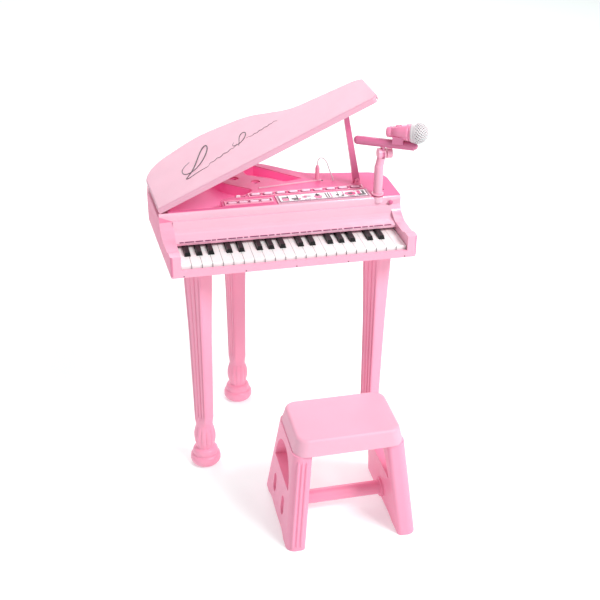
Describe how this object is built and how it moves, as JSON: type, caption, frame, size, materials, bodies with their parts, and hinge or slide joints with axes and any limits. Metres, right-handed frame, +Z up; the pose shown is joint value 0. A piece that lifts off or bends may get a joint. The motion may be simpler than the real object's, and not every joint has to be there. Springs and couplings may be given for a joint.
{
  "type": "toy electronic keyboard",
  "caption": "Toy electronic keyboard shaped as a small grand piano on three legs, with a propped lid, a microphone on an arm and a matching stool.",
  "frame": {"origin": "on the floor, under the middle of the whole set's bounding box", "axes": "+X to the treble side, +Y away from the player towards the tail, +Z up"},
  "size_m": [0.5096, 0.5832, 0.7371],
  "materials": {
    "case_pink": "semi-gloss moulded ABS",
    "lid_pink": "semi-gloss moulded ABS",
    "leg_pink": "semi-gloss moulded plastic",
    "stool_pink": "semi-gloss moulded plastic",
    "rose_plastic": "semi-gloss deep rose plastic",
    "mic_pink": "semi-gloss moulded plastic",
    "grille_white": "white moulded plastic with small holes",
    "key_white": "glossy white key plastic",
    "key_black": "glossy black key plastic",
    "button_white": null,
    "button_pink": "pink button plastic",
    "steel": "zinc-plated screw steel",
    "speaker_black": "paper cone and black frame",
    "board_green": "printed circuit board",
    "lead_white": "flexible PVC sheath"
  },
  "bodies": {
    "case": {"upper_case": "case_pink", "lower_case": "case_pink", "battery_cover": "case_pink", "case_screws": "steel", "speaker": "speaker_black", "circuit_board": "board_green", "leg_front_left": "leg_pink", "leg_front_right": "leg_pink", "leg_rear": "leg_pink", "mic_plug": "case_pink", "mic_lead": "lead_white"},
    "lid": {"lid": "lid_pink"},
    "prop": {"lid_prop": "rose_plastic"},
    "mic_stand": {"mic_post": "case_pink"},
    "mic_arm": {"mic_boom": "rose_plastic", "mic_body": "mic_pink", "mic_grille": "grille_white"},
    "instrument_buttons": {"instrument_buttons": "button_white"},
    "function_buttons": {"function_buttons": "button_pink"},
    "power_switch": {"power_switch": "button_white"},
    "stool": {"stool_seat": "stool_pink", "stool_side_frames": "stool_pink", "stool_crossbar": "stool_pink"},
    "white_key_01": {"white_key_01": "key_white"},
    "white_key_02": {"white_key_02": "key_white"},
    "white_key_03": {"white_key_03": "key_white"},
    "white_key_04": {"white_key_04": "key_white"},
    "white_key_05": {"white_key_05": "key_white"},
    "white_key_06": {"white_key_06": "key_white"},
    "white_key_07": {"white_key_07": "key_white"},
    "white_key_08": {"white_key_08": "key_white"},
    "white_key_09": {"white_key_09": "key_white"},
    "white_key_10": {"white_key_10": "key_white"},
    "white_key_11": {"white_key_11": "key_white"},
    "white_key_12": {"white_key_12": "key_white"},
    "white_key_13": {"white_key_13": "key_white"},
    "white_key_14": {"white_key_14": "key_white"},
    "white_key_15": {"white_key_15": "key_white"},
    "white_key_16": {"white_key_16": "key_white"},
    "white_key_17": {"white_key_17": "key_white"},
    "white_key_18": {"white_key_18": "key_white"},
    "white_key_19": {"white_key_19": "key_white"},
    "white_key_20": {"white_key_20": "key_white"},
    "white_key_21": {"white_key_21": "key_white"},
    "white_key_22": {"white_key_22": "key_white"},
    "sharp_key_01": {"sharp_key_01": "key_black"},
    "sharp_key_02": {"sharp_key_02": "key_black"},
    "sharp_key_03": {"sharp_key_03": "key_black"},
    "sharp_key_04": {"sharp_key_04": "key_black"},
    "sharp_key_05": {"sharp_key_05": "key_black"},
    "sharp_key_06": {"sharp_key_06": "key_black"},
    "sharp_key_07": {"sharp_key_07": "key_black"},
    "sharp_key_08": {"sharp_key_08": "key_black"},
    "sharp_key_09": {"sharp_key_09": "key_black"},
    "sharp_key_10": {"sharp_key_10": "key_black"},
    "sharp_key_11": {"sharp_key_11": "key_black"},
    "sharp_key_12": {"sharp_key_12": "key_black"},
    "sharp_key_13": {"sharp_key_13": "key_black"},
    "sharp_key_14": {"sharp_key_14": "key_black"},
    "sharp_key_15": {"sharp_key_15": "key_black"}
  },
  "joints": [
    {"name": "lid_lift", "type": "hinge", "parent": "case", "child": "lid", "pos_m": [-0.2388, 0.14982, 0.545], "axis": [0, -1, 0], "range_deg": [0, 15]},
    {"name": "prop_fold", "type": "hinge", "parent": "case", "child": "prop", "pos_m": [0.14869, 0.12642, 0.547], "axis": [0, -1, 0], "range_deg": [0, 68]},
    {"name": "mic_swivel", "type": "hinge", "parent": "case", "child": "mic_stand", "pos_m": [0.17319, 0.06082, 0.54], "axis": [0, 0, 1], "range_deg": [-60, 60]},
    {"name": "mic_tilt", "type": "hinge", "parent": "mic_stand", "child": "mic_arm", "pos_m": [0.17869, 0.06182, 0.624], "axis": [1, 0, 0], "range_deg": [-25, 25]},
    {"name": "stool_slide", "type": "slide", "parent": "case", "child": "stool", "axis": [0, -1, 0], "range_m": [-0.04, 0.2]},
    {"name": "power_switch_slide", "type": "slide", "parent": "case", "child": "power_switch", "axis": [1, 0, 0], "range_m": [0, 0.008]},
    {"name": "instrument_buttons_press", "type": "slide", "parent": "case", "child": "instrument_buttons", "axis": [0, 0, -1], "range_m": [0, 0.0012], "stiffness_N_per_m": 400, "springref_m": -0.0015},
    {"name": "function_buttons_press", "type": "slide", "parent": "case", "child": "function_buttons", "axis": [0, 0, -1], "range_m": [0, 0.0012], "stiffness_N_per_m": 300, "springref_m": -0.0015},
    {"name": "white_key_01_press", "type": "hinge", "parent": "case", "child": "white_key_01", "pos_m": [-0.2103, 0.08182, 0.478], "axis": [1, 0, 0], "range_deg": [0, 2.4], "stiffness_Nm_per_rad": 0.6, "springref_deg": -2.86},
    {"name": "white_key_02_press", "type": "hinge", "parent": "case", "child": "white_key_02", "pos_m": [-0.19131, 0.08182, 0.478], "axis": [1, 0, 0], "range_deg": [0, 2.4], "stiffness_Nm_per_rad": 0.6, "springref_deg": -2.86},
    {"name": "white_key_03_press", "type": "hinge", "parent": "case", "child": "white_key_03", "pos_m": [-0.17231, 0.08182, 0.478], "axis": [1, 0, 0], "range_deg": [0, 2.4], "stiffness_Nm_per_rad": 0.6, "springref_deg": -2.86},
    {"name": "white_key_04_press", "type": "hinge", "parent": "case", "child": "white_key_04", "pos_m": [-0.1533, 0.08182, 0.478], "axis": [1, 0, 0], "range_deg": [0, 2.4], "stiffness_Nm_per_rad": 0.6, "springref_deg": -2.86},
    {"name": "white_key_05_press", "type": "hinge", "parent": "case", "child": "white_key_05", "pos_m": [-0.13431, 0.08182, 0.478], "axis": [1, 0, 0], "range_deg": [0, 2.4], "stiffness_Nm_per_rad": 0.6, "springref_deg": -2.86},
    {"name": "white_key_06_press", "type": "hinge", "parent": "case", "child": "white_key_06", "pos_m": [-0.11531, 0.08182, 0.478], "axis": [1, 0, 0], "range_deg": [0, 2.4], "stiffness_Nm_per_rad": 0.6, "springref_deg": -2.86},
    {"name": "white_key_07_press", "type": "hinge", "parent": "case", "child": "white_key_07", "pos_m": [-0.09631, 0.08182, 0.478], "axis": [1, 0, 0], "range_deg": [0, 2.4], "stiffness_Nm_per_rad": 0.6, "springref_deg": -2.86},
    {"name": "white_key_08_press", "type": "hinge", "parent": "case", "child": "white_key_08", "pos_m": [-0.0773, 0.08182, 0.478], "axis": [1, 0, 0], "range_deg": [0, 2.4], "stiffness_Nm_per_rad": 0.6, "springref_deg": -2.86},
    {"name": "white_key_09_press", "type": "hinge", "parent": "case", "child": "white_key_09", "pos_m": [-0.05831, 0.08182, 0.478], "axis": [1, 0, 0], "range_deg": [0, 2.4], "stiffness_Nm_per_rad": 0.6, "springref_deg": -2.86},
    {"name": "white_key_10_press", "type": "hinge", "parent": "case", "child": "white_key_10", "pos_m": [-0.0393, 0.08182, 0.478], "axis": [1, 0, 0], "range_deg": [0, 2.4], "stiffness_Nm_per_rad": 0.6, "springref_deg": -2.86},
    {"name": "white_key_11_press", "type": "hinge", "parent": "case", "child": "white_key_11", "pos_m": [-0.02031, 0.08182, 0.478], "axis": [1, 0, 0], "range_deg": [0, 2.4], "stiffness_Nm_per_rad": 0.6, "springref_deg": -2.86},
    {"name": "white_key_12_press", "type": "hinge", "parent": "case", "child": "white_key_12", "pos_m": [-0.0013, 0.08182, 0.478], "axis": [1, 0, 0], "range_deg": [0, 2.4], "stiffness_Nm_per_rad": 0.6, "springref_deg": -2.86},
    {"name": "white_key_13_press", "type": "hinge", "parent": "case", "child": "white_key_13", "pos_m": [0.01769, 0.08182, 0.478], "axis": [1, 0, 0], "range_deg": [0, 2.4], "stiffness_Nm_per_rad": 0.6, "springref_deg": -2.86},
    {"name": "white_key_14_press", "type": "hinge", "parent": "case", "child": "white_key_14", "pos_m": [0.03669, 0.08182, 0.478], "axis": [1, 0, 0], "range_deg": [0, 2.4], "stiffness_Nm_per_rad": 0.6, "springref_deg": -2.86},
    {"name": "white_key_15_press", "type": "hinge", "parent": "case", "child": "white_key_15", "pos_m": [0.0557, 0.08182, 0.478], "axis": [1, 0, 0], "range_deg": [0, 2.4], "stiffness_Nm_per_rad": 0.6, "springref_deg": -2.86},
    {"name": "white_key_16_press", "type": "hinge", "parent": "case", "child": "white_key_16", "pos_m": [0.07469, 0.08182, 0.478], "axis": [1, 0, 0], "range_deg": [0, 2.4], "stiffness_Nm_per_rad": 0.6, "springref_deg": -2.86},
    {"name": "white_key_17_press", "type": "hinge", "parent": "case", "child": "white_key_17", "pos_m": [0.0937, 0.08182, 0.478], "axis": [1, 0, 0], "range_deg": [0, 2.4], "stiffness_Nm_per_rad": 0.6, "springref_deg": -2.86},
    {"name": "white_key_18_press", "type": "hinge", "parent": "case", "child": "white_key_18", "pos_m": [0.1127, 0.08182, 0.478], "axis": [1, 0, 0], "range_deg": [0, 2.4], "stiffness_Nm_per_rad": 0.6, "springref_deg": -2.86},
    {"name": "white_key_19_press", "type": "hinge", "parent": "case", "child": "white_key_19", "pos_m": [0.1317, 0.08182, 0.478], "axis": [1, 0, 0], "range_deg": [0, 2.4], "stiffness_Nm_per_rad": 0.6, "springref_deg": -2.86},
    {"name": "white_key_20_press", "type": "hinge", "parent": "case", "child": "white_key_20", "pos_m": [0.15069, 0.08182, 0.478], "axis": [1, 0, 0], "range_deg": [0, 2.4], "stiffness_Nm_per_rad": 0.6, "springref_deg": -2.86},
    {"name": "white_key_21_press", "type": "hinge", "parent": "case", "child": "white_key_21", "pos_m": [0.1697, 0.08182, 0.478], "axis": [1, 0, 0], "range_deg": [0, 2.4], "stiffness_Nm_per_rad": 0.6, "springref_deg": -2.86},
    {"name": "white_key_22_press", "type": "hinge", "parent": "case", "child": "white_key_22", "pos_m": [0.1887, 0.08182, 0.478], "axis": [1, 0, 0], "range_deg": [0, 2.4], "stiffness_Nm_per_rad": 0.6, "springref_deg": -2.86},
    {"name": "sharp_key_01_press", "type": "hinge", "parent": "case", "child": "sharp_key_01", "pos_m": [-0.20341, 0.08182, 0.478], "axis": [1, 0, 0], "range_deg": [0, 2.4], "stiffness_Nm_per_rad": 0.6, "springref_deg": -2.86},
    {"name": "sharp_key_02_press", "type": "hinge", "parent": "case", "child": "sharp_key_02", "pos_m": [-0.1818, 0.08182, 0.478], "axis": [1, 0, 0], "range_deg": [0, 2.4], "stiffness_Nm_per_rad": 0.6, "springref_deg": -2.86},
    {"name": "sharp_key_03_press", "type": "hinge", "parent": "case", "child": "sharp_key_03", "pos_m": [-0.1602, 0.08182, 0.478], "axis": [1, 0, 0], "range_deg": [0, 2.4], "stiffness_Nm_per_rad": 0.6, "springref_deg": -2.86},
    {"name": "sharp_key_04_press", "type": "hinge", "parent": "case", "child": "sharp_key_04", "pos_m": [-0.12651, 0.08182, 0.478], "axis": [1, 0, 0], "range_deg": [0, 2.4], "stiffness_Nm_per_rad": 0.6, "springref_deg": -2.86},
    {"name": "sharp_key_05_press", "type": "hinge", "parent": "case", "child": "sharp_key_05", "pos_m": [-0.10411, 0.08182, 0.478], "axis": [1, 0, 0], "range_deg": [0, 2.4], "stiffness_Nm_per_rad": 0.6, "springref_deg": -2.86},
    {"name": "sharp_key_06_press", "type": "hinge", "parent": "case", "child": "sharp_key_06", "pos_m": [-0.0704, 0.08182, 0.478], "axis": [1, 0, 0], "range_deg": [0, 2.4], "stiffness_Nm_per_rad": 0.6, "springref_deg": -2.86},
    {"name": "sharp_key_07_press", "type": "hinge", "parent": "case", "child": "sharp_key_07", "pos_m": [-0.04881, 0.08182, 0.478], "axis": [1, 0, 0], "range_deg": [0, 2.4], "stiffness_Nm_per_rad": 0.6, "springref_deg": -2.86},
    {"name": "sharp_key_08_press", "type": "hinge", "parent": "case", "child": "sharp_key_08", "pos_m": [-0.02721, 0.08182, 0.478], "axis": [1, 0, 0], "range_deg": [0, 2.4], "stiffness_Nm_per_rad": 0.6, "springref_deg": -2.86},
    {"name": "sharp_key_09_press", "type": "hinge", "parent": "case", "child": "sharp_key_09", "pos_m": [0.00649, 0.08182, 0.478], "axis": [1, 0, 0], "range_deg": [0, 2.4], "stiffness_Nm_per_rad": 0.6, "springref_deg": -2.86},
    {"name": "sharp_key_10_press", "type": "hinge", "parent": "case", "child": "sharp_key_10", "pos_m": [0.0289, 0.08182, 0.478], "axis": [1, 0, 0], "range_deg": [0, 2.4], "stiffness_Nm_per_rad": 0.6, "springref_deg": -2.86},
    {"name": "sharp_key_11_press", "type": "hinge", "parent": "case", "child": "sharp_key_11", "pos_m": [0.06259, 0.08182, 0.478], "axis": [1, 0, 0], "range_deg": [0, 2.4], "stiffness_Nm_per_rad": 0.6, "springref_deg": -2.86},
    {"name": "sharp_key_12_press", "type": "hinge", "parent": "case", "child": "sharp_key_12", "pos_m": [0.0842, 0.08182, 0.478], "axis": [1, 0, 0], "range_deg": [0, 2.4], "stiffness_Nm_per_rad": 0.6, "springref_deg": -2.86},
    {"name": "sharp_key_13_press", "type": "hinge", "parent": "case", "child": "sharp_key_13", "pos_m": [0.1058, 0.08182, 0.478], "axis": [1, 0, 0], "range_deg": [0, 2.4], "stiffness_Nm_per_rad": 0.6, "springref_deg": -2.86},
    {"name": "sharp_key_14_press", "type": "hinge", "parent": "case", "child": "sharp_key_14", "pos_m": [0.1395, 0.08182, 0.478], "axis": [1, 0, 0], "range_deg": [0, 2.4], "stiffness_Nm_per_rad": 0.6, "springref_deg": -2.86},
    {"name": "sharp_key_15_press", "type": "hinge", "parent": "case", "child": "sharp_key_15", "pos_m": [0.1619, 0.08182, 0.478], "axis": [1, 0, 0], "range_deg": [0, 2.4], "stiffness_Nm_per_rad": 0.6, "springref_deg": -2.86}
  ]
}
